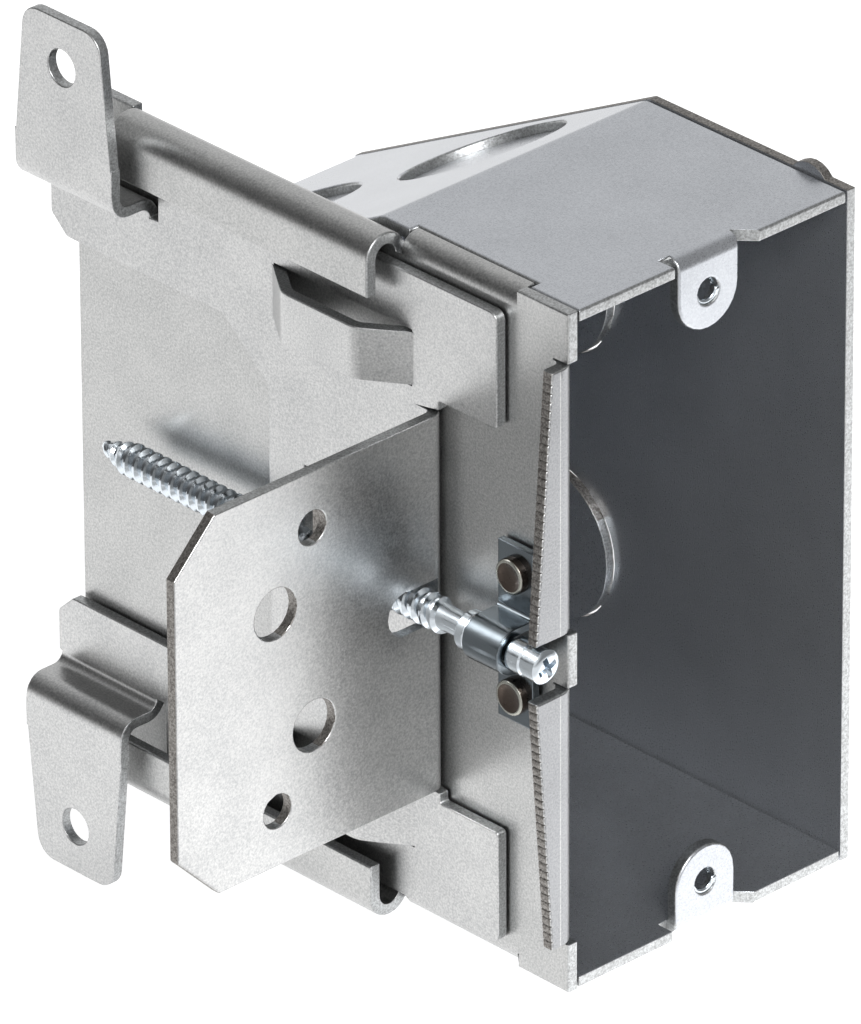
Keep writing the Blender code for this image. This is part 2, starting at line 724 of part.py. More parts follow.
def bracket_plate():
    """The flat of the bracket that slides along the box wall, with its lanced windows."""
    bend_start = FLANGE_SETBACK + BRACKET_SHEET + TAB_BEND
    fold = WEB_LEVEL - BRACKET_SHEET / 2 - TAB_BEND
    upper = [
        (bend_start, 0.0, 0.0),
        (bend_start, FLANGE_HALF, 0.0),
        (FLANGE_SETBACK, FLANGE_HALF + 0.0006, 0.0),
        (FLANGE_SETBACK, EAR_INNER, 0.0004),
        (EAR_REACH, EAR_INNER, 0.0006),
        (EAR_REACH, PLATE_HALF, 0.0012),
        (TONGUE_REAR, PLATE_HALF, 0.0),
        (TONGUE_REAR, fold, 0.0),
        (ARM_REAR, fold, 0.0),
        (ARM_REAR, ARM_INNER + 0.0026, 0.0008),
        (ARM_REAR - 0.0028, ARM_INNER, 0.0008),
        (PLATE_REAR + DIAGONAL + 0.0012, ARM_INNER, 0.0010),
        (PLATE_REAR, ARM_INNER - DIAGONAL, 0.0010),
    ]
    outline = rounded(upper[1:] + mirrored(upper[1:]), 3)
    windows = []
    for sign in (1, -1):
        low, high = sorted((sign * (BRIDGE_LOW - SEAM), sign * (BRIDGE_HIGH + SEAM)))
        windows.append([
            (BRIDGE_FRONT, low), (BRIDGE_REAR, low), (BRIDGE_REAR, high), (BRIDGE_FRONT, high),
        ])
    reach = NUT_TAB_HALF + SEAM
    windows.append([
        (NUT_TAB_FRONT, SCREW_UP - reach), (NUT_WINDOW_REAR, SCREW_UP - reach),
        (NUT_WINDOW_REAR, SCREW_UP + reach), (NUT_TAB_FRONT, SCREW_UP + reach),
    ])
    return extruded("slide_bracket", [outline] + windows, "YZ", PLATE_OUTER, PLATE_INNER, STUD)


def bridge(bracket, sign, label):
    """A strap lanced from the plate and pressed outward, open above and below."""
    middle = PLATE_OUTER + BRACKET_SHEET / 2
    out = middle - BRIDGE_OUT
    path = [
        (middle, BRIDGE_FRONT - PASS), (middle, BRIDGE_FRONT), (out, BRIDGE_FRONT + BRIDGE_RAMP),
        (out, BRIDGE_REAR - BRIDGE_RAMP), (middle, BRIDGE_REAR), (middle, BRIDGE_REAR + PASS),
    ]
    strap = folded(path, [BRACKET_SHEET, 0.003, 0.003, BRACKET_SHEET], BRACKET_SHEET)
    low, high = sorted((sign * BRIDGE_LOW, sign * BRIDGE_HIGH))
    join(bracket, extruded(f"{label}_bridge", [strap], "XY", low, high, STUD))


def nailing_flange(bracket):
    """The flange that is nailed to the front of the stud."""
    middle = PLATE_OUTER + BRACKET_SHEET / 2
    level = FLANGE_SETBACK + BRACKET_SHEET / 2
    bend = BRACKET_SHEET
    start = PLATE_OUTER - bend
    path = [(middle, FLANGE_SETBACK + 3 * BRACKET_SHEET + TAB_BEND), (middle, level), (start - PASS, level)]
    fold = extruded(
        "flange_fold", [folded(path, [bend], BRACKET_SHEET)], "XY", -FLANGE_HALF, FLANGE_HALF, STUD
    )
    join(bracket, fold)
    free = PLATE_OUTER - FLANGE_REACH
    outline = [
        (start, FLANGE_HALF),
        (free + FLANGE_CORNER, FLANGE_HALF),
        (free, FLANGE_HALF - FLANGE_CORNER),
    ]
    outline += mirrored(outline)
    near = PLATE_OUTER - NAIL_ROW_NEAR
    far = PLATE_OUTER - NAIL_ROW_FAR
    holes = [
        circle(near, SMALL_HOLE_UP, SMALL_HOLE_RADIUS, 24),
        circle(far, LARGE_HOLE_UP, LARGE_HOLE_RADIUS, 24),
        circle(near, -LARGE_HOLE_UP, LARGE_HOLE_RADIUS, 24),
        circle(far, -SMALL_HOLE_UP, SMALL_HOLE_RADIUS, 24),
    ]
    rear = FLANGE_SETBACK + BRACKET_SHEET
    join(bracket, extruded("flange_flat", [outline] + holes, "XZ", FLANGE_SETBACK, rear, STUD))
    half = COLLAR_RADIUS + SLOT_SPARE
    round_end = PLATE_OUTER - SLOT_REACH + half
    slot = [(PLATE_OUTER, SCREW_UP - half), (PLATE_OUTER, SCREW_UP + half)]
    for step in range(9):
        angle = math.pi / 2 + math.pi * step / 8
        slot.append((round_end + half * math.cos(angle), SCREW_UP + half * math.sin(angle)))
    cut(bracket, extruded("screw_slot", [slot], "XZ", FLANGE_SETBACK - PASS, rear + PASS, STUD))


def stud_tab(bracket, sign, label):
    """The web and the tab at the rear of an arm, which bear on the side of the stud."""
    middle = PLATE_OUTER + BRACKET_SHEET / 2
    out = middle - TAB_OFFSET
    level = sign * (WEB_LEVEL - BRACKET_SHEET / 2)
    flat_start = WEB_LEVEL + TAB_BEND + BRACKET_SHEET
    path = [
        (middle, sign * (ARM_INNER + 0.0040)), (middle, level),
        (out, level), (out, sign * (flat_start + PASS)),
    ]
    fold = folded(path, [TAB_BEND, TAB_BEND], BRACKET_SHEET)
    join(bracket, extruded(f"{label}_web", [fold], "XZ", TAB_FRONT, TAB_REAR, STUD))
    outline = [
        (TAB_FRONT, sign * flat_start, 0.0),
        (TAB_FRONT + TAB_TAPER, sign * TAB_TIP, 0.0030),
        (TAB_REAR - TAB_TAPER, sign * TAB_TIP, 0.0030),
        (TAB_REAR, sign * flat_start, 0.0),
    ]
    hole = circle((TAB_FRONT + TAB_REAR) / 2, sign * TAB_HOLE_UP, TAB_HOLE_RADIUS, 24)
    low = out - BRACKET_SHEET / 2
    join(bracket, extruded(f"{label}_tab", [rounded(outline), hole], "YZ", low, low + BRACKET_SHEET, STUD))


def nut_tab(bracket):
    """The tab folded out of the window that the screw threads through."""
    middle = PLATE_OUTER + BRACKET_SHEET / 2
    level = NUT_TAB_FRONT + BRACKET_SHEET / 2
    bend = BRACKET_SHEET
    out = SCREW_X - THREAD_RADIUS - PLAY - NUT_TAB_LAND
    path = [(middle, NUT_TAB_FRONT - 2 * bend - PASS), (middle, level), (out, level)]
    strip = folded(path, [bend], BRACKET_SHEET)
    low = SCREW_UP - NUT_TAB_HALF
    high = SCREW_UP + NUT_TAB_HALF
    join(bracket, extruded("nut_tab", [strip], "XY", low, high, STUD))
    spot = along_axis("Y", (SCREW_X, NUT_TAB_FRONT, SCREW_UP))
    radius = THREAD_RADIUS + PLAY
    cut(bracket, cylinder("nut_hole", radius, -PASS, BRACKET_SHEET + PASS, STUD, spot, 24))


def slide_bracket():
    """The folded bracket: plate, ears, flange, bridges, nut tab and stud tabs in one sheet."""
    bracket = bracket_plate()
    nailing_flange(bracket)
    nut_tab(bracket)
    for sign, label in ((1, "upper"), (-1, "lower")):
        bridge(bracket, sign, label)
        stud_tab(bracket, sign, label)
    return bracket


def finish(piece, material, smooth_angle=35):
    piece.data.materials.append(material)
    piece.data.shade_smooth()
    piece.data.set_sharp_from_angle(angle=math.radians(smooth_angle))


def build():
    galvanised = new_material("galvanised_sheet", (0.62, 0.63, 0.61), 0.42, 1.0)
    shell_steel = new_material("box_sheet", (0.55, 0.56, 0.56), 0.38, 1.0)
    zinc = new_material("bright_zinc", (0.70, 0.74, 0.78), 0.22, 1.0)
    rivet_steel = new_material("rivet_steel", (0.36, 0.33, 0.30), 0.40, 1.0)
    finish(slide_bracket(), galvanised)
    finish(mount_side_wall(), galvanised)
    finish(box_shell(), shell_steel)
    finish(far_side_wall(), shell_steel)
    finish(screw_keeper(), zinc)
    for label, height in rivet_places():
        finish(keeper_rivet(label, height), rivet_steel)
    finish(adjusting_screw(), zinc)
    finish(screw_collar(), zinc)


build()
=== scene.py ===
# %% [markdown]
# # A depth adjustable outlet box in zinc coated steel
#
# The real thing is cut and folded from sheet steel: a bracket that is nailed to a stud, and a box
# that slides on the bracket's plate and is moved by one long screw. Blender already holds the exact
# solids of the part, so this lesson does not build them again. It gives each solid the small things
# that the eye looks for in sheet metal: broken edges, sheared sides, a turned thread and a zinc skin.

# %% Load the solids and measure them
import math

import bmesh
import bpy
from mathutils import Matrix, Vector
from mathutils.bvhtree import BVHTree
from mathutils.geometry import intersect_line_line_2d, intersect_point_line


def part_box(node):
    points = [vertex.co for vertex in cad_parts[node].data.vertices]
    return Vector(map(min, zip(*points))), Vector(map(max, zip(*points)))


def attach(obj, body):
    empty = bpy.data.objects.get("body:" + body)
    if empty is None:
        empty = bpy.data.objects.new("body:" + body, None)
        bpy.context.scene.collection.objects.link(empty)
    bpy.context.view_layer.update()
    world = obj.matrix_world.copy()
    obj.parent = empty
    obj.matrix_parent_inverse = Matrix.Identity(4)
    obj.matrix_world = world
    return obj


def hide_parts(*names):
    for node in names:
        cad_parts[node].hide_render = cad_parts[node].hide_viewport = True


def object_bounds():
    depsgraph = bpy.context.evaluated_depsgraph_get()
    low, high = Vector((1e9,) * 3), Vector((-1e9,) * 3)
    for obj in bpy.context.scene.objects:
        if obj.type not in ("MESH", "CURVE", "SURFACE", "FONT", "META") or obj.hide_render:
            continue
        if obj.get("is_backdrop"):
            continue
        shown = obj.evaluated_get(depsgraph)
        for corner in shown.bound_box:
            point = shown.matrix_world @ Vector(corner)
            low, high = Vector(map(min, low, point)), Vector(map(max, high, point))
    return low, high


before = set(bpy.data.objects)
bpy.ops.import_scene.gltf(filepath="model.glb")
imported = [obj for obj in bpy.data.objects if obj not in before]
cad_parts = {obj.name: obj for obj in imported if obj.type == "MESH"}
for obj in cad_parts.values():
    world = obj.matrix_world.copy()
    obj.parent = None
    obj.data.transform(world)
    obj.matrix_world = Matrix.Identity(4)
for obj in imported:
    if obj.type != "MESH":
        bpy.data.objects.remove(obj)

MILLIMETRE = 0.001

cad_low, cad_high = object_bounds()
shell_low, shell_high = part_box("box_shell")
wall_low, wall_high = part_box("mount_side_wall")
screw_low, screw_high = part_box("adjusting_screw")
BOX_CENTRE = (shell_low + shell_high) / 2
print("solids:", sorted(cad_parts))
print("box of the solids in mm:", [round(1000 * side, 1) for side in cad_high - cad_low])

# %% [markdown]
# ## Colours and nodes
#
# Paint and metal are written as web colours, because those can be compared with a photograph.
# Blender calculates with light, so one function turns each of them into linear values. A second
# function adds a shader node with its settings and its links, which keeps each finish readable.

# %% Turn a web colour into light, and add a node
def linear(web_colour):
    channels = [int(web_colour[at:at + 2], 16) / 255 for at in (1, 3, 5)]
    light = [c / 12.92 if c <= 0.04045 else ((c + 0.055) / 1.055) ** 2.4 for c in channels]
    return (*light, 1.0)


def add_node(tree, kind, values=None, links=None, **settings):
    made = tree.nodes.new(kind)
    for name, value in settings.items():
        setattr(made, name, value)
    for name, value in (values or {}).items():
        made.inputs[name].default_value = value
    for name, source in (links or {}).items():
        tree.links.new(source, made.inputs[name])
    return made


print("zinc grey in light:", [round(c, 3) for c in linear("#CBCDC9")[:3]])

# %% [markdown]
# A finish is a pattern that the shader follows. Noise gives the pattern, and its scale is worked out
# from the real width of its patches. The colour goes between two tones, the roughness varies a
# little, and a very low relief makes the surface sparkle. Most values of the noise lie between 0.3
# and 0.7, so the roughness is spread over that part of it. Widths and heights are in millimetres.

# %% Let a shader follow a pattern
NOISE_LOW = 0.3
NOISE_HIGH = 0.7


def new_metal(name, metallic=1.0):
    """A metal's material, its node tree and shader, and the place of each point on the piece."""
    material = bpy.data.materials.new(name)
    material.use_nodes = True
    tree = material.node_tree
    shader = tree.nodes["Principled BSDF"]
    shader.inputs["Metallic"].default_value = metallic
    place = add_node(tree, "ShaderNodeTexCoord").outputs["Object"]
    return material, tree, shader, place


def per(millimetres):
    """The noise scale whose patches are about this wide, because one unit here is one metre."""
    return 1 / (millimetres * MILLIMETRE)


def follow_in_colour(tree, shader, factor, dark, light, low, high):
    """The colour goes from dark to light while the factor goes from low to high."""
    ramp = add_node(tree, "ShaderNodeValToRGB", links={"Fac": factor})
    ramp.color_ramp.elements[0].position = low
    ramp.color_ramp.elements[0].color = linear(dark)
    ramp.color_ramp.elements[1].position = high
    ramp.color_ramp.elements[1].color = linear(light)
    tree.links.new(ramp.outputs["Color"], shader.inputs["Base Color"])


def follow_in_roughness(tree, shader, factor, middle, spread):
    values = {"From Min": NOISE_LOW, "From Max": NOISE_HIGH,
              "To Min": middle - spread, "To Max": middle + spread}
    varied = add_node(tree, "ShaderNodeMapRange", values, {"Value": factor})
    tree.links.new(varied.outputs["Result"], shader.inputs["Roughness"])


def follow_in_relief(tree, shader, factor, millimetres):
    values = {"Strength": 1.0, "Distance": millimetres * MILLIMETRE}
    bump = add_node(tree, "ShaderNodeBump", values, {"Height": factor})
    tree.links.new(bump.outputs["Normal"], shader.inputs["Normal"])


print("noise scale for patches of 0.3 mm:", round(per(0.3)))

# %% [markdown]
# ## Zinc coated sheet
#
# Sheet of this kind leaves the mill with a thin zinc skin that is rolled flat. It mirrors only
# softly, and a fine matt grain of some tenths of a millimetre makes each bend sparkle. The grain
# is drawn as colour, roughness and a very low bump, and a wide faint cloud breaks up large flats.
# The box's inner faces see little but each other, so the shell's zinc keeps a share of plain,
# diffuse grey. The wedge flange was drawn over a tool, and its skin is duller.

# %% Make the finishes of the coated sheets
CLOUD = 9.0
CLOUD_SHARE = 0.18
GRAIN_HEIGHT = 0.004


def coated_sheet(name, dark, light, roughness, grain=0.28, metallic=1.0):
    material, tree, shader, place = new_metal(name, metallic)
    fine = add_node(tree, "ShaderNodeTexNoise", {"Scale": per(grain), "Detail": 3.0, "Roughness": 0.6},
                    {"Vector": place}).outputs["Fac"]
    wide = add_node(tree, "ShaderNodeTexNoise", {"Scale": per(CLOUD), "Detail": 2.0},
                    {"Vector": place}).outputs["Fac"]
    cloud = add_node(tree, "ShaderNodeMath", {1: CLOUD_SHARE}, {0: wide}, operation="MULTIPLY")
    both = add_node(tree, "ShaderNodeMath", {1: 1 - CLOUD_SHARE}, {0: fine, 2: cloud.outputs[0]},
                    operation="MULTIPLY_ADD")
    follow_in_colour(tree, shader, both.outputs[0], dark, light, low=0.34, high=0.66)
    follow_in_roughness(tree, shader, fine, roughness, spread=0.05)
    follow_in_relief(tree, shader, fine, GRAIN_HEIGHT)
    return material


BRACKET_ZINC = coated_sheet("rolled_zinc_bracket", "#A5A6A7", "#D1D1D0", 0.34)
WALL_ZINC = coated_sheet("rolled_zinc_wall", "#9E9F9F", "#CACAC9", 0.34)
DRAWN_ZINC = coated_sheet("drawn_zinc_wedge", "#87888A", "#A5A6A8", 0.38)
SHELL_ZINC = coated_sheet("rolled_zinc_shell", "#ABAEB3", "#C8CBD0", 0.30, grain=0.22, metallic=0.85)
print("coated sheets:", [zinc.name for zinc in (BRACKET_ZINC, WALL_ZINC, DRAWN_ZINC, SHELL_ZINC)])

# %% [markdown]
# ## Sheared and torn sides
#
# Where a press cuts the sheet the side shows bare steel, rough and mottled. A side that was torn
# off rather than cut is darker and brown.

# %% Make the finishes of a sheared and a torn side
TEAR = 0.3
TEAR_HEIGHT = 0.012


def sheared_side(name, dark, light, roughness):
    material, tree, shader, place = new_metal(name)
    tear = add_node(tree, "ShaderNodeTexNoise", {"Scale": per(TEAR), "Detail": 4.0, "Roughness": 0.7},
                    {"Vector": place}).outputs["Fac"]
    follow_in_colour(tree, shader, tear, dark, light, low=0.38, high=0.62)
    shader.inputs["Roughness"].default_value = roughness
    follow_in_relief(tree, shader, tear, TEAR_HEIGHT)
    return material


SHEARED = sheared_side("sheared_steel", "#919292", "#C2C4C5", 0.42)
TORN = sheared_side("torn_steel", "#625E5B", "#A29F9B", 0.5)
print("sides:", SHEARED.name, TORN.name)

# %% [markdown]
# ## Bright zinc plate and heat tinted steel
#
# The screw and its keeper are plated and tumbled, so they mirror clearly with a blue white cast,
# the screw more brightly. The keeper's zinc is painted darker, as a painted reflection of the shaded
# flange beside it. The rivets are bare steel that was heated when it was set: brown and
# dull, with a rim that has been rubbed bright.

# %% Make the finishes of the fasteners
def plain_metal(name, colour, roughness, patch, spread):
    material, tree, shader, place = new_metal(name)
    shader.inputs["Base Color"].default_value = linear(colour)
    marks = add_node(tree, "ShaderNodeTexNoise", {"Scale": per(patch), "Detail": 3.0},
                     {"Vector": place}).outputs["Fac"]
    follow_in_roughness(tree, shader, marks, roughness, spread)
    return material


BRIGHT_ZINC = plain_metal("bright_zinc_plate", "#D5DCE2", 0.16, 0.8, 0.05)
# The keeper's zinc is painted dark: a painted reflection of the shaded flange beside it.
KEEPER_ZINC_PAINTED_DARK = plain_metal("keeper_zinc_painted_dark_reflection", "#747B80", 0.17, 0.9, 0.06)
HEAT_TINTED = plain_metal("heat_tinted_steel", "#564D47", 0.34, 0.5, 0.1)
RUBBED = plain_metal("rubbed_steel_rim", "#ABABA3", 0.24, 0.4, 0.06)
print("fasteners:", [metal.name for metal in (BRIGHT_ZINC, KEEPER_ZINC_PAINTED_DARK, HEAT_TINTED, RUBBED)])

# %% [markdown]
# ## Dressing a sheet
#
# A solid from CAD has knife edges and is made of loose triangles. Each sheet is copied, its
# triangles are welded, and flat areas are joined to single faces, because a bevel needs clean ones.

# %% Copy a solid
WELD = 0.002 * MILLIMETRE
SMALLEST_STEP = 0.1 * MILLIMETRE
FLAT_ANGLE = math.radians(0.6)


def only(piece):
    bpy.ops.object.select_all(action="DESELECT")
    piece.select_set(True)
    bpy.context.view_layer.objects.active = piece


def copied(node, name):
    piece = bpy.data.objects.new(name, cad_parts[node].data.copy())
    bpy.context.scene.collection.objects.link(piece)
    only(piece)
    bpy.ops.object.mode_set(mode="EDIT")
    bpy.ops.mesh.select_all(action="SELECT")
    bpy.ops.mesh.remove_doubles(threshold=WELD)
    bpy.ops.mesh.dissolve_limited(angle_limit=FLAT_ANGLE)
    bpy.ops.mesh.select_all(action="SELECT")
    bpy.ops.mesh.remove_doubles(threshold=SMALLEST_STEP)
    bpy.ops.object.mode_set(mode="OBJECT")
    return piece


def select_faces(piece, wanted):
    """Leaves the piece in edit mode with only the wanted faces selected."""
    only(piece)
    bpy.ops.object.mode_set(mode="EDIT")
    bpy.ops.mesh.select_mode(type="FACE")
    bpy.ops.mesh.select_all(action="DESELECT")
    bpy.ops.object.mode_set(mode="OBJECT")
    for face in piece.data.polygons:
        face.select = wanted(face)
    bpy.ops.object.mode_set(mode="EDIT")


print("triangles:", {name: len(solid.data.polygons) for name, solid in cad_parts.items()})

# %% [markdown]
# A ray from each face into the metal tells what the face is: it leaves the sheet after one
# thickness under a broad face, and travels much further under a sheared one. A sheared face that is
# turned to the stud is taken as torn. The ray starts just under the face, and its start and end are
# given in thicknesses of the sheet.

# %% Tell the faces of a sheet apart
BROAD, CUT, RIPPED, DRAWN = range(4)
RAY_START = 0.02
RAY_END = 1.3
TURNED_TO_STUD = 0.3


def mark_sides(piece, sheet):
    """Gives each face the number of its material, and prints how many of each kind there are."""
    mesh = piece.data
    corners = [v.co for v in mesh.vertices]
    mesh.calc_loop_triangles()
    tree = BVHTree.FromPolygons(corners, [t.vertices[:] for t in mesh.loop_triangles])
    widest = {}
    for triangle in mesh.loop_triangles:
        known = widest.get(triangle.polygon_index)
        if known is None or triangle.area > known.area:
            widest[triangle.polygon_index] = triangle
    for index, triangle in widest.items():
        middle = sum((corners[v] for v in triangle.vertices), Vector()) / 3
        inward = -mesh.polygons[index].normal
        reach = tree.ray_cast(middle + inward * sheet * RAY_START, inward)[3]
        if reach and reach < RAY_END * sheet:
            mesh.polygons[index].material_index = BROAD
        else:
            mesh.polygons[index].material_index = RIPPED if inward.x > TURNED_TO_STUD else CUT
    kinds = [face.material_index for face in mesh.polygons]
    print(piece.name, "faces:", [kinds.count(kind) for kind in (BROAD, CUT, RIPPED)])


# %% [markdown]
# Then a Bevel breaks the edges. One width for all would not do, because the shortest edge would
# hold back the rest. Each sharp edge gets a width of its own, no more than it and its neighbours
# have room for, and a press rolls the edges of the side that it strikes wider, which here faces
# away from the middle of the box.

# %% Work out a width for each edge
SHARP_ANGLE = math.radians(40)
STEEPEST_TURN = math.radians(150)
SHARE_OF_EDGE = 0.9
LEAST_USED = 0.05


def reach_of_bevel(edge, sharp):
    """The widest bevel that an edge has room for: a corner that turns by t uses up tan(t / 2) of it."""
    used = 0
    for end in edge.verts:
        line = (end.co - edge.other_vert(end).co).normalized()
        turns = [line.angle(other.other_vert(end).co - end.co)
                 for other in end.link_edges if other is not edge and other in sharp]
        used += math.tan(min(max(turns, default=0), STEEPEST_TURN) / 2)
    return SHARE_OF_EDGE * edge.calc_length() / max(used, LEAST_USED)


def allow_bevels(piece, width, rolled):
    """Writes the width of each edge's bevel, and returns the widest."""
    widest = max(width, rolled)
    shape = bmesh.new()
    shape.from_mesh(piece.data)
    share = shape.edges.layers.float.new("bevel_weight_edge")
    sharp = {edge for edge in shape.edges
             if len(edge.link_faces) == 2 and edge.calc_face_angle() > SHARP_ANGLE}
    room = {edge: reach_of_bevel(edge, sharp) for edge in sharp}
    for edge in sharp:
        broad = [face for face in edge.link_faces if face.material_index == BROAD]
        struck = (len(broad) == 1
                  and broad[0].normal.dot(broad[0].calc_center_median() - BOX_CENTRE) > 0)
        nearby = [room[other] for end in edge.verts for other in end.link_edges if other in sharp]
        edge[share] = min([rolled if struck else width] + nearby) / widest
    print(piece.name, "sharp edges:", len(sharp))
    shape.to_mesh(piece.data)
    shape.free()
    return widest


# %% [markdown]
# Beside a small notch a bevel can still make the outline of a flat face cross itself. The triangles
# that fill such a face cover more than its area, so those faces are found quickly, and only their
# sides are tried in pairs.

# %% Find the places that a bevel spoils
FEWEST_CORNERS = 6
FILLED_TWICE = 1.0002
LEAST_AREA = 1e-10
LEAST_LENGTH = 1e-7


def crossed_spots(mesh):
    """Where the outline of a flat face crosses itself."""
    mesh.calc_loop_triangles()
    filled = {}
    for triangle in mesh.loop_triangles:
        filled[triangle.polygon_index] = filled.get(triangle.polygon_index, 0) + triangle.area
    spots = []
    for face in mesh.polygons:
        if len(face.vertices) < FEWEST_CORNERS:
            continue
        if filled[face.index] < face.area * FILLED_TWICE + LEAST_AREA:
            continue
        aside = face.normal.orthogonal().normalized()
        upward = face.normal.cross(aside)
        corners = [mesh.vertices[v].co for v in face.vertices]
        flat = [Vector((c.dot(aside), c.dot(upward))) for c in corners]
        sides = list(zip(flat, flat[1:] + flat[:1], corners))
        for here, (a, b, corner) in enumerate(sides):
            for c, d, other in sides[here + 2:]:
                met = intersect_line_line_2d(a, b, c, d)
                if met and min((met - end).length for end in (a, b, c, d)) > LEAST_LENGTH:
                    spots.append(corner + (met - a).x * aside + (met - a).y * upward)
    return spots


# %% [markdown]
# Where a face is spoilt the widths close by are cut, and the bevel starts again from the whole mesh.
# They are cut in half first, then further, and in the end to nothing.

# %% Bevel the edges
BEVEL_SEGMENTS = 3
SPOILT_REACH = 0.8 * MILLIMETRE
CUTS_OF_WIDTH = (0.5, 0.3, 0.0, 0.0, 0.0, 0.0)


def bevel_by_weight(piece, widest):
    bevel = piece.modifiers.new("broken_edges", "BEVEL")
    bevel.width = widest
    bevel.segments = BEVEL_SEGMENTS
    bevel.limit_method = "WEIGHT"
    bevel.use_clamp_overlap = False
    only(piece)
    bpy.ops.object.modifier_apply(modifier=bevel.name)


def break_edges(piece, widest):
    whole = piece.data.copy()
    share = whole.attributes["bevel_weight_edge"].data
    for keep in CUTS_OF_WIDTH:
        spoilt = piece.data
        piece.data = whole.copy()
        bpy.data.meshes.remove(spoilt)
        bevel_by_weight(piece, widest)
        spots = crossed_spots(piece.data)
        if not spots:
            break
        for edge in whole.edges:
            a, b = (whole.vertices[v].co for v in edge.vertices)
            for spot in spots:
                near, part = intersect_point_line(spot, a, b)
                near = a if part < 0 else b if part > 1 else near
                if (near - spot).length < SPOILT_REACH:
                    share[edge.index].value *= keep
                    break
    print(piece.name, "bevelled, spoilt places left:", len(spots))


# %% [markdown]
# Shading comes last. Normals weighted by area keep the flat faces flat, and the light runs round the
# narrow bevels. One function does all the steps for a piece: the copy rides on the same body as its
# solid and stands for it. Widths and thicknesses are given in millimetres, and a piece without a
# sheet thickness keeps one finish.

# %% Dress a piece from start to end
SMOOTH_ANGLE = math.radians(35)
ALL_BY_AREA = 100


def shade(piece):
    only(piece)
    bpy.ops.object.shade_smooth_by_angle(angle=SMOOTH_ANGLE)
    weighted = piece.modifiers.new("flat_faces_stay_flat", "WEIGHTED_NORMAL")
    weighted.mode = "FACE_AREA"
    weighted.weight = ALL_BY_AREA
    weighted.keep_sharp = True
    bpy.ops.object.modifier_apply(modifier=weighted.name)


def dressed(node, name, body, materials, sheet=None, width=0.12, rolled=0.4, finish=None):
    piece = copied(node, name)
    piece.data.materials.clear()
    for material in materials:
        piece.data.materials.append(material)
    if sheet:
        mark_sides(piece, sheet * MILLIMETRE)
    widest = allow_bevels(piece, width * MILLIMETRE, rolled * MILLIMETRE)
    break_edges(piece, widest)
    if finish:
        finish(piece)
    shade(piece)
    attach(piece, body)
    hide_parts(node)
    print(name, len(piece.data.polygons), "faces")


# %% [markdown]
# The wedge flange was torn off along its outer side: the side shows a row of small blocks with a
# crack after each of them. The mesh is cut across at each crack and the cut is pressed in a little.

# %% Crack the torn side
NICK_PITCH = 1.15 * MILLIMETRE
NICK_HALF = 0.12 * MILLIMETRE
NICK_DEPTH = 0.32 * MILLIMETRE
NICK_REACH = 0.5 * MILLIMETRE
WEDGE_DEPTH = 1.6 * MILLIMETRE
TOUCHING = 0.001 * MILLIMETRE


def beside_mouth(face):
    return face.center.y < wall_low.y + WEDGE_DEPTH


def cut_across(piece, wanted, place, normal):
    """Cuts the wanted faces where a plane goes through them."""
    select_faces(piece, wanted)
    bpy.ops.mesh.bisect(plane_co=place, plane_no=normal, threshold=TOUCHING)
    bpy.ops.object.mode_set(mode="OBJECT")


def nick_torn_side(piece):
    mesh = piece.data
    torn = [f for f in mesh.polygons if f.material_index == RIPPED and beside_mouth(f)]
    outline = [mesh.vertices[v].co for f in torn for v in f.vertices]
    bottom = min(corner.z for corner in outline)
    top = max(corner.z for corner in outline)
    innermost = max(corner.x for corner in outline)
    cracks = [bottom + NICK_PITCH * k for k in range(1, int((top - bottom) / NICK_PITCH))]
    for crack in cracks:
        for level in (crack - NICK_HALF, crack, crack + NICK_HALF):
            cut_across(piece, beside_mouth, (0, 0, level), (0, 0, 1))
        row = [v for v in mesh.vertices
               if abs(v.co.z - crack) < TOUCHING and v.co.y < wall_low.y + WEDGE_DEPTH + 10 * TOUCHING]
        outermost = min((v.co.x for v in row), default=innermost + 1)
        if outermost > innermost + TOUCHING:
            continue
        for corner in row:
            near = 1 - (corner.co.x - outermost) / NICK_REACH
            corner.co.x += NICK_DEPTH * max(near, 0.0)
    print("cracks along the torn side:", len(cracks))


# %% [markdown]
# The flange's front face gets its drawn skin, except a thin line beside the bend that keeps the
# lighter zinc as a painted highlight of the bend. The far wall's upward sides get the dark, brown
# finish.

# %% Finish the wedge flange and the far wall
# A thin line beside the bend keeps the wall's lighter zinc: a painted highlight of the bend.
HIGHLIGHT_LINE_X = wall_high.x - 4.3 * MILLIMETRE
HIGHLIGHT_LINE_HALF = 0.07 * MILLIMETRE
FACES_FRONT = -0.9
FACES_UP = 0.5


def on_wedge_front(face):
    return beside_mouth(face) and face.normal.y < FACES_FRONT


def finish_wedge(piece):
    nick_torn_side(piece)
    for side in (HIGHLIGHT_LINE_X - HIGHLIGHT_LINE_HALF, HIGHLIGHT_LINE_X + HIGHLIGHT_LINE_HALF):
        cut_across(piece, on_wedge_front, (side, 0, 0), (1, 0, 0))
    # Every broad front face but the painted highlight line gets the darker drawn skin.
    for face in piece.data.polygons:
        drawn = face.material_index == BROAD and on_wedge_front(face)
        if drawn and abs(face.center.x - HIGHLIGHT_LINE_X) > HIGHLIGHT_LINE_HALF:
            face.material_index = DRAWN


def darken_upward_sides(piece):
    # Sides that face up get the darker, browner torn finish; the other sides get the sheared one.
    for face in piece.data.polygons:
        if face.material_index != BROAD:
            face.material_index = RIPPED if face.normal.z > FACES_UP else CUT


print("polished line at x in mm:", round(1000 * HIGHLIGHT_LINE_X, 2))

# %% [markdown]
# Each sheet takes the finish of its broad faces first, then those of its sheared and torn sides.
# The bracket's sheet is a little thinner than the box's, and its edges are crisper. The keeper and
# the collar are small and plated all over, so they have narrow edges and one finish.

# %% Dress the sheets, the keeper and the collar
BRACKET_SHEET = 1.5
BOX_SHEET = 1.6
KEEPER_SHEET = 1.1

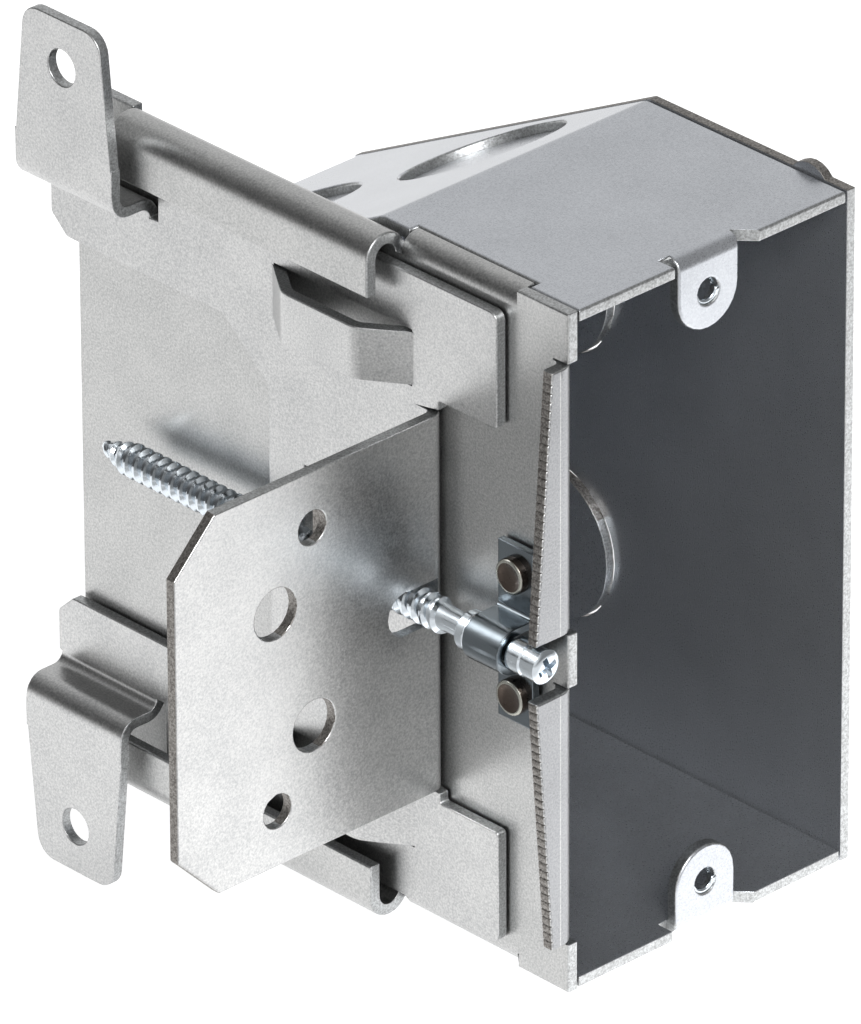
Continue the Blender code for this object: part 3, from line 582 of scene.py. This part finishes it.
dressed("slide_bracket", "dressed_bracket", "bracket",
        [BRACKET_ZINC, SHEARED, TORN], BRACKET_SHEET, rolled=0.22)
dressed("mount_side_wall", "dressed_mount_wall", "box",
        [WALL_ZINC, SHEARED, TORN, DRAWN_ZINC], BOX_SHEET, rolled=0.3, finish=finish_wedge)
dressed("box_shell", "dressed_shell", "box", [SHELL_ZINC, SHEARED, SHEARED], BOX_SHEET)
dressed("far_side_wall", "dressed_far_wall", "box",
        [SHELL_ZINC, SHEARED, TORN], BOX_SHEET, finish=darken_upward_sides)
# The keeper's one finish is its zinc, painted dark as a reflection of the shaded flange.
dressed("screw_keeper", "dressed_keeper", "box",
        [KEEPER_ZINC_PAINTED_DARK] * 3, KEEPER_SHEET, width=0.1, rolled=0.18)
dressed("screw_collar", "dressed_collar", "screw", [BRIGHT_ZINC], width=0.1, rolled=0.1)

# %% [markdown]
# ## The adjusting screw
#
# The screw is turned first and threaded afterwards, so it is made in that order. A circle is added
# at the front end and extruded ring by ring along the axis.

# %% Measure the screw
AXIS_X = (screw_low.x + screw_high.x) / 2
AXIS_Z = (screw_low.z + screw_high.z) / 2
FRONT_END = screw_low.y
LENGTH = screw_high.y - screw_low.y
CREST_SPARE = 0.1 * MILLIMETRE
THREAD_CREST = (screw_high.z - screw_low.z) / 2 - CREST_SPARE
THREAD_ROOT = 1.7 * MILLIMETRE
SHANK = 1.6 * MILLIMETRE
PITCH = 1.69 * MILLIMETRE
THREAD_FROM = 17.2 * MILLIMETRE
RUN_OUT = 0.2 * MILLIMETRE
POINT_LENGTH = 5.2 * MILLIMETRE
print("screw length in mm:", round(1000 * LENGTH, 2))

# %% [markdown]
# The rings work as a lathe does: each extrusion goes on along the axis and is then scaled to its
# new radius. The keeper's rivets are turned in the same way.

# %% Turn a piece from rings
ROUND = 40


def turned(name, rings, place, turn=0.0):
    """Extrudes a circle through rings of (distance along the axis, radius). The axis starts at place
    and points along +Y, or turn degrees from it round Z."""
    bpy.ops.object.select_all(action="DESELECT")
    start, radius = rings[0]
    bpy.ops.mesh.primitive_circle_add(vertices=ROUND, radius=radius, fill_type="NGON",
                                      location=(0, start, 0), rotation=(math.radians(90), 0, 0))
    piece = bpy.context.object
    piece.name = name
    bpy.ops.object.transform_apply(location=True, rotation=True, scale=True)
    bpy.ops.object.mode_set(mode="EDIT")
    bpy.ops.mesh.select_all(action="SELECT")
    for (here, now), (there, then) in zip(rings, rings[1:]):
        bpy.ops.mesh.extrude_region_move(TRANSFORM_OT_translate={"value": (0, there - here, 0)})
        share = then / now
        bpy.ops.transform.resize(value=(share, 1, share), center_override=(0, there, 0))
    bpy.ops.mesh.select_all(action="SELECT")
    bpy.ops.mesh.normals_make_consistent(inside=False)
    bpy.ops.object.mode_set(mode="OBJECT")
    piece.rotation_euler.z = math.radians(turn)
    piece.location = place
    bpy.ops.object.transform_apply(location=True, rotation=True, scale=True)
    return piece


# %% [markdown]
# From the front end the screw has a domed nose with a shallow groove, a bare shank, the core of its
# thread and a blunt point.

# %% Turn the screw
SCREW_SMOOTHED = math.radians(40)
# Millimetres behind the front end, and the share of the nose's radius there.
NOSE_PROFILE = [(0.0, 0.40), (0.08, 0.70), (0.24, 0.90), (0.46, 1.0), (2.40, 1.0),
                (2.60, 0.90), (3.00, 0.90), (3.20, 1.0), (5.35, 1.0), (5.50, 0.94)]
NOSE_END = 5.5 * MILLIMETRE
# Millimetres before the rear end, and the radius there in millimetres.
POINT_PROFILE = [(0.9, 0.75), (0.1, 0.25)]
nose_rings = [(behind * MILLIMETRE, share * THREAD_CREST) for behind, share in NOSE_PROFILE]
shank_rings = [(NOSE_END, SHANK), (THREAD_FROM, SHANK)]
core_rings = [(THREAD_FROM + RUN_OUT, THREAD_ROOT), (LENGTH - POINT_LENGTH, THREAD_ROOT)]
point_rings = [(LENGTH - before * MILLIMETRE, point * MILLIMETRE) for before, point in POINT_PROFILE]
screw = turned("dressed_screw", nose_rings + shank_rings + core_rings + point_rings,
               (AXIS_X, FRONT_END, AXIS_Z))
print("rings of the screw:", len(nose_rings + shank_rings + core_rings + point_rings))

# %% [markdown]
# The drive is a cross recess. Two wedges that narrow towards the bottom make one cutter, and a
# Boolean takes it out of the nose, as the punch does on the real one.

# %% Cut the cross recess
RECESS_DEPTH = 1.7 * MILLIMETRE
RECESS_SPAN = 3.3 * MILLIMETRE
RECESS_WIDTH = 0.86 * MILLIMETRE
RECESS_TURN = 20
PAST_FRONT = 0.2 * MILLIMETRE
SPAN_AT_BOTTOM = 0.35
WIDTH_AT_BOTTOM = 0.45
FACES_REAR = 0.9


def recess_wing(turn):
    bpy.ops.object.select_all(action="DESELECT")
    middle = (AXIS_X, FRONT_END + (RECESS_DEPTH - PAST_FRONT) / 2, AXIS_Z)
    bpy.ops.mesh.primitive_cube_add(size=1, location=middle)
    wing = bpy.context.object
    wing.scale = (RECESS_SPAN, RECESS_DEPTH + PAST_FRONT, RECESS_WIDTH)
    bpy.ops.object.transform_apply(location=True, rotation=True, scale=True)
    select_faces(wing, lambda face: face.normal.y > FACES_REAR)
    bottom = (AXIS_X, FRONT_END + RECESS_DEPTH, AXIS_Z)
    bpy.ops.transform.resize(value=(SPAN_AT_BOTTOM, 1, WIDTH_AT_BOTTOM), center_override=bottom)
    bpy.ops.mesh.select_all(action="SELECT")
    bpy.ops.transform.rotate(value=math.radians(turn), orient_axis="Y",
                             center_override=(AXIS_X, 0, AXIS_Z))
    bpy.ops.object.mode_set(mode="OBJECT")
    return wing


def combine(piece, other, operation):
    step = piece.modifiers.new(operation.lower(), "BOOLEAN")
    step.object = other
    step.operation = operation
    step.solver = "EXACT"
    only(piece)
    bpy.ops.object.modifier_apply(modifier=step.name)
    bpy.data.objects.remove(other)


cross = recess_wing(RECESS_TURN)
combine(cross, recess_wing(RECESS_TURN + 90), "UNION")
combine(screw, cross, "DIFFERENCE")
screw.data.materials.clear()
screw.data.materials.append(BRIGHT_ZINC)
only(screw)
bpy.ops.object.shade_smooth_by_angle(angle=SCREW_SMOOTHED)
print("faces of the screw with its recess:", len(screw.data.polygons))

# %% [markdown]
# A rolled thread is one ridge that climbs by its pitch on each turn. The tooth is a closed
# four-cornered loop in the plane of the axis with its foot inside the core, and the Screw modifier
# turns it and shifts it. Half the widths of its foot and its crest are given as shares of the pitch.

# %% Sweep a thread
HALF_FOOT = 0.42
HALF_CREST = 0.11
STEPS_A_TURN = 24


def swept_thread(name, axis, start, turns, pitch, foot, crest):
    """A closed ridge round a line along Y. foot and crest are radii, start is its first place on Y."""
    half = pitch * HALF_FOOT
    top = pitch * HALF_CREST
    mesh = bpy.data.meshes.new(name)
    corners = [(foot, -half, 0), (crest, -top, 0), (crest, top, 0), (foot, half, 0)]
    mesh.from_pydata(corners, [(0, 1), (1, 2), (2, 3), (3, 0)], [])
    ridge = bpy.data.objects.new(name, mesh)
    bpy.context.scene.collection.objects.link(ridge)
    only(ridge)
    sweep = ridge.modifiers.new("sweep", "SCREW")
    sweep.axis = "Y"
    sweep.screw_offset = pitch
    sweep.iterations = turns
    sweep.steps = sweep.render_steps = STEPS_A_TURN
    sweep.use_normal_calculate = True
    bpy.ops.object.modifier_apply(modifier=sweep.name)
    bpy.ops.object.mode_set(mode="EDIT")
    bpy.ops.mesh.select_all(action="SELECT")
    bpy.ops.mesh.fill_holes(sides=4)
    bpy.ops.mesh.normals_make_consistent(inside=False)
    bpy.ops.transform.translate(value=(axis[0], start, axis[1]))
    bpy.ops.object.mode_set(mode="OBJECT")
    return ridge


# %% [markdown]
# Towards the point the ridge is drawn in until it is lost in the tip.

# %% Thread the screw
SCREW_AXIS = (AXIS_X, AXIS_Z)
FOOT_IN_CORE = 0.25 * MILLIMETRE
BARE_TIP = 1.2 * MILLIMETRE
TIP_CREST = 0.8 * MILLIMETRE
TIP_CREST_FROM = screw_high.y - 0.5 * MILLIMETRE
THREAD_SMOOTHED = math.radians(50)


def draw_in(ridge, axis, begin, end, radius):
    """Pulls a ridge to the axis from begin to end on Y, where its crest reaches radius."""
    for corner in ridge.data.vertices:
        share = min(max((corner.co.y - begin) / (end - begin), 0.0), 1.0)
        keep = 1 - share * (1 - radius / THREAD_CREST)
        corner.co.x = axis[0] + (corner.co.x - axis[0]) * keep
        corner.co.z = axis[1] + (corner.co.z - axis[1]) * keep


turns_of_thread = int((LENGTH - THREAD_FROM - BARE_TIP) / PITCH)
thread = swept_thread("screw_thread", SCREW_AXIS, FRONT_END + THREAD_FROM + PITCH / 2,
                      turns_of_thread, PITCH, THREAD_ROOT - FOOT_IN_CORE, THREAD_CREST)
draw_in(thread, SCREW_AXIS, screw_high.y - POINT_LENGTH, TIP_CREST_FROM, TIP_CREST)
thread.data.materials.append(BRIGHT_ZINC)
bpy.ops.object.shade_smooth_by_angle(angle=THREAD_SMOOTHED)
print("turns of thread:", turns_of_thread)
for piece in (screw, thread):
    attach(piece, "screw")
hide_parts("adjusting_screw")

# %% [markdown]
# ## The keeper's rivets
#
# The keeper is held by two set buttons. Each has a shallow brown dish inside a narrow rim that is
# rubbed bright, so it is turned from the bottom of the dish up to the rim and down to the sheet.

# %% Turn the two rivets of the keeper
# Millimetres behind the rim, and the share of the rivet's radius there.
DISH_PROFILE = [(0.34, 0.12), (0.32, 0.45), (0.20, 0.66), (0.0, 0.80), (0.03, 0.90), (0.16, 0.98),
                (0.36, 1.0)]
RIM_FROM = 0.74
RIM_DEPTH = 0.25 * MILLIMETRE

for level in ("upper", "lower"):
    node = f"keeper_rivet_{level}"
    low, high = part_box(node)
    radius = (high.z - low.z) / 2
    height = high.x - low.x
    rings = [(behind * MILLIMETRE, share * radius) for behind, share in DISH_PROFILE]
    middle = Vector((low.x, (low.y + high.y) / 2, (low.z + high.z) / 2))
    rivet = turned(f"dressed_rivet_{level}", rings + [(height, radius)], middle, -90)
    rivet.data.materials.append(HEAT_TINTED)
    rivet.data.materials.append(RUBBED)
    for face in rivet.data.polygons:
        out = (face.center - middle).yz
        on_rim = out.length > RIM_FROM * radius and face.center.x < low.x + RIM_DEPTH
        face.material_index = 1 if on_rim else 0
    bpy.ops.object.shade_smooth_by_angle(angle=THREAD_SMOOTHED)
    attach(rivet, "box")
    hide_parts(node)
    print(rivet.name, "height in mm:", round(1000 * height, 2))

# %% [markdown]
# ## The tapped holes
#
# The device tabs are tapped for small machine screws. Each tap leaves a fine thread in the hole,
# and it shows in the picture as a bright crescent with dark lines.

# %% Tap the device tabs
TAP_PITCH = 0.79 * MILLIMETRE
TAP_HOLE = 1.75 * MILLIMETRE
TAP_FOOT = TAP_HOLE + 0.1 * MILLIMETRE
TAP_CREST = TAP_HOLE - 0.45 * MILLIMETRE
TAP_START = shell_low.y + 1.15 * MILLIMETRE
HOLE_HEIGHT = 41.67 * MILLIMETRE
for level, height in (("upper", HOLE_HEIGHT), ("lower", -HOLE_HEIGHT)):
    tapped = swept_thread(f"tapped_{level}", (BOX_CENTRE.x, height), TAP_START, 1, TAP_PITCH,
                          TAP_FOOT, TAP_CREST)
    tapped.data.materials.append(BRIGHT_ZINC)
    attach(tapped, "box")
    print(tapped.name, "crest radius in mm:", round(1000 * TAP_CREST, 2))

# %% [markdown]
# ## The floor and the light
#
# The picture is a catalogue picture: a white sweep under and behind the part, and soft light. Metal
# shows what stands around it, so what it mirrors makes most of its tones. The floor and the room
# therefore change their brightness softly along some directions, each from one place to another.

# %% Let brightness change along a direction
def soft_step(tree, place, direction, begin, end, bottom, top):
    """Goes softly from bottom to top while place goes from begin to end along a direction."""
    along = add_node(tree, "ShaderNodeVectorMath", {1: Vector(direction).normalized()}, {0: place},
                     operation="DOT_PRODUCT").outputs["Value"]
    values = {"From Min": begin, "From Max": end, "To Min": bottom, "To Max": top}
    return add_node(tree, "ShaderNodeMapRange", values, {"Value": along},
                    interpolation_type="SMOOTHSTEP").outputs["Result"]


# %% [markdown]
# The floor is white to the camera and has a grey of its own for the light that it scatters.
# In reflections alone it is brighter to the front right and darker to the front left, and it
# darkens again far off to the right.

# %% Lay the floor
FLOOR_SIDE = 6.0
FLOOR_GAP = 0.4 * MILLIMETRE
FLOOR_GLOW = 0.88
CHALK = (0.5, 0.5, 0.5, 1)
LEFT_FRONT = (-0.69, -0.73, 0)
RIGHT_FRONT = (0.60, -0.80, 0)
LEFT_BACK = (-0.69, 0.73, 0)
# A direction, two distances along it in metres, and the factor of brightness at each of them.
FLOOR_TONES = [
    (LEFT_FRONT, 0.01, 0.09, 1.0, 0.28),
    (RIGHT_FRONT, 0.02, 0.06, 1.0, 1.75),
    (RIGHT_FRONT, 0.20, 0.42, 1.0, 0.15),
    (LEFT_BACK, 0.05, 0.20, 1.08, 0.96),
]

bpy.ops.object.select_all(action="DESELECT")
bpy.ops.mesh.primitive_plane_add(size=FLOOR_SIDE, location=(0, 0, cad_low.z - FLOOR_GAP))
floor = bpy.context.object
floor.name = "floor"
paper = bpy.data.materials.new("white_sweep")
paper.use_nodes = True
tree = paper.node_tree
tree.nodes.clear()
rays = add_node(tree, "ShaderNodeLightPath").outputs
spot = add_node(tree, "ShaderNodeTexCoord").outputs["Object"]
mirrored = rays["Is Glossy Ray"]
for tone in FLOOR_TONES:
    mirrored = add_node(tree, "ShaderNodeMath", links={0: mirrored, 1: soft_step(tree, spot, *tone)},
                        operation="MULTIPLY").outputs[0]
straight = add_node(tree, "ShaderNodeMath", operation="MAXIMUM",
                    links={0: rays["Is Camera Ray"], 1: rays["Is Transmission Ray"]})
shown = add_node(tree, "ShaderNodeMath", links={0: mirrored, 1: straight.outputs[0]}, operation="ADD")
glow = add_node(tree, "ShaderNodeMath", {1: FLOOR_GLOW}, {0: shown.outputs[0]}, operation="MULTIPLY")
white = add_node(tree, "ShaderNodeEmission", {"Color": (1, 1, 1, 1)}, {"Strength": glow.outputs[0]})
chalk = add_node(tree, "ShaderNodeBsdfDiffuse", {"Color": CHALK})
both = add_node(tree, "ShaderNodeAddShader", links={0: white.outputs[0], 1: chalk.outputs[0]})
add_node(tree, "ShaderNodeOutputMaterial", links={"Surface": both.outputs[0]})
floor.data.materials.append(paper)
floor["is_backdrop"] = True
print("floor below the part in mm:", round(1000 * (cad_low.z - floor.location.z), 2))

# %% [markdown]
# The room is an even grey with two light patches: one at the back right, which the top mirrors, and
# one behind the camera. It is darker low at the back left, where the stud would be. To the camera
# itself it is white.

# %% Light the room
ROOM_GREY = 0.26
# A direction, two cosines of the angle from it, and the brightness or its factor at each of them.
BACK_RIGHT_PATCH = ((0.60, 0.64, 0.35), 0.45, 0.98, 0.0, 0.55)
VIEWER_PATCH = ((-0.58, -0.62, 0.52), 0.60, 0.96, 0.0, 0.7)
BACK_LEFT_SHADE = ((-0.77, 0.62, 0.15), 0.70, 0.97, 1.0, 0.35)

world = bpy.data.worlds.new("studio")
bpy.context.scene.world = world
world.use_nodes = True
tree = world.node_tree
tree.nodes.clear()
way = add_node(tree, "ShaderNodeTexCoord").outputs["Generated"]
seen = add_node(tree, "ShaderNodeLightPath").outputs["Is Camera Ray"]
back_right = soft_step(tree, way, *BACK_RIGHT_PATCH)
viewer = soft_step(tree, way, *VIEWER_PATCH)
patches = add_node(tree, "ShaderNodeMath", links={0: back_right, 1: viewer}, operation="ADD")
lit = add_node(tree, "ShaderNodeMath", {1: ROOM_GREY}, {0: patches.outputs[0]}, operation="ADD")
room = add_node(tree, "ShaderNodeMath", operation="MULTIPLY",
                links={0: lit.outputs[0], 1: soft_step(tree, way, *BACK_LEFT_SHADE)})
strength = add_node(tree, "ShaderNodeMix", {3: 1.0}, {0: seen, 2: room.outputs[0]})
sky = add_node(tree, "ShaderNodeBackground", {"Color": (1, 1, 1, 1)}, {"Strength": strength.outputs[0]})
add_node(tree, "ShaderNodeOutputWorld", links={"Surface": sky.outputs[0]})
print("nodes of the room:", len(tree.nodes))

# %% [markdown]
# One soft square lamp stands to the front left and above, near the camera's line of sight, and is
# aimed at the part.

# %% Hang the lamp
KEY_PLACE = Vector((-0.50, -0.90, 0.90))
KEY_AIM = Vector((0.03, 0.0, 0.0))
KEY_SIDE = 0.5
KEY_WATTS = 14.0
lamp = bpy.data.lights.new("key_box", "AREA")
lamp.shape = "SQUARE"
lamp.size = KEY_SIDE
lamp.energy = KEY_WATTS
key = bpy.data.objects.new("key_box", lamp)
key.location = KEY_PLACE
key.rotation_euler = (KEY_AIM - KEY_PLACE).to_track_quat("-Z", "Y").to_euler()
bpy.context.scene.collection.objects.link(key)

# %% [markdown]
# ## The camera
#
# The photograph was taken from the left, the front and above, from far away with a long lens: its
# upright edges stay parallel. The camera stands on that line of sight.

# %% Place the camera
AZIMUTH = -0.757385
ELEVATION = 0.494568
ROLL = -0.004748
DISTANCE = 1.805855
FOCAL_PIXELS = 14562.169
PICTURE_LONG_SIDE = 1024
SENSOR = 36.0
TARGET = Vector((0.050550, -0.022700, 0.0))
SIDEWAYS, UPWARDS = -0.0348793, 0.0098738

level_right = Vector((math.cos(AZIMUTH), math.sin(AZIMUTH), 0))
ahead = Vector((-math.sin(AZIMUTH) * math.cos(ELEVATION),
                math.cos(AZIMUTH) * math.cos(ELEVATION), -math.sin(ELEVATION)))
level_up = level_right.cross(ahead)
right = math.cos(ROLL) * level_right + math.sin(ROLL) * level_up
up = math.cos(ROLL) * level_up - math.sin(ROLL) * level_right
camera_data = bpy.data.cameras.new("catalogue_camera")
camera_data.sensor_width = SENSOR
camera_data.lens = FOCAL_PIXELS / PICTURE_LONG_SIDE * SENSOR
camera = bpy.data.objects.new("catalogue_camera", camera_data)
turn = Matrix((right, up, -ahead)).transposed().to_4x4()
turn.translation = TARGET - ahead * DISTANCE + right * SIDEWAYS + up * UPWARDS
camera.matrix_world = turn
bpy.context.scene.collection.objects.link(camera)
bpy.context.scene.camera = camera
bpy.context.scene.view_settings.view_transform = "Standard"
print("lens in mm:", round(camera_data.lens, 1))

# %% [markdown]
# ## The size of the dressed part
#
# The box of the dressed part is printed, as that of the solids was at the start. The
# dressed part has to stay inside the box of its solids.

# %% Measure and finish
low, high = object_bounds()
print("box of the dressed part in mm:", [round(1000 * side, 2) for side in high - low])
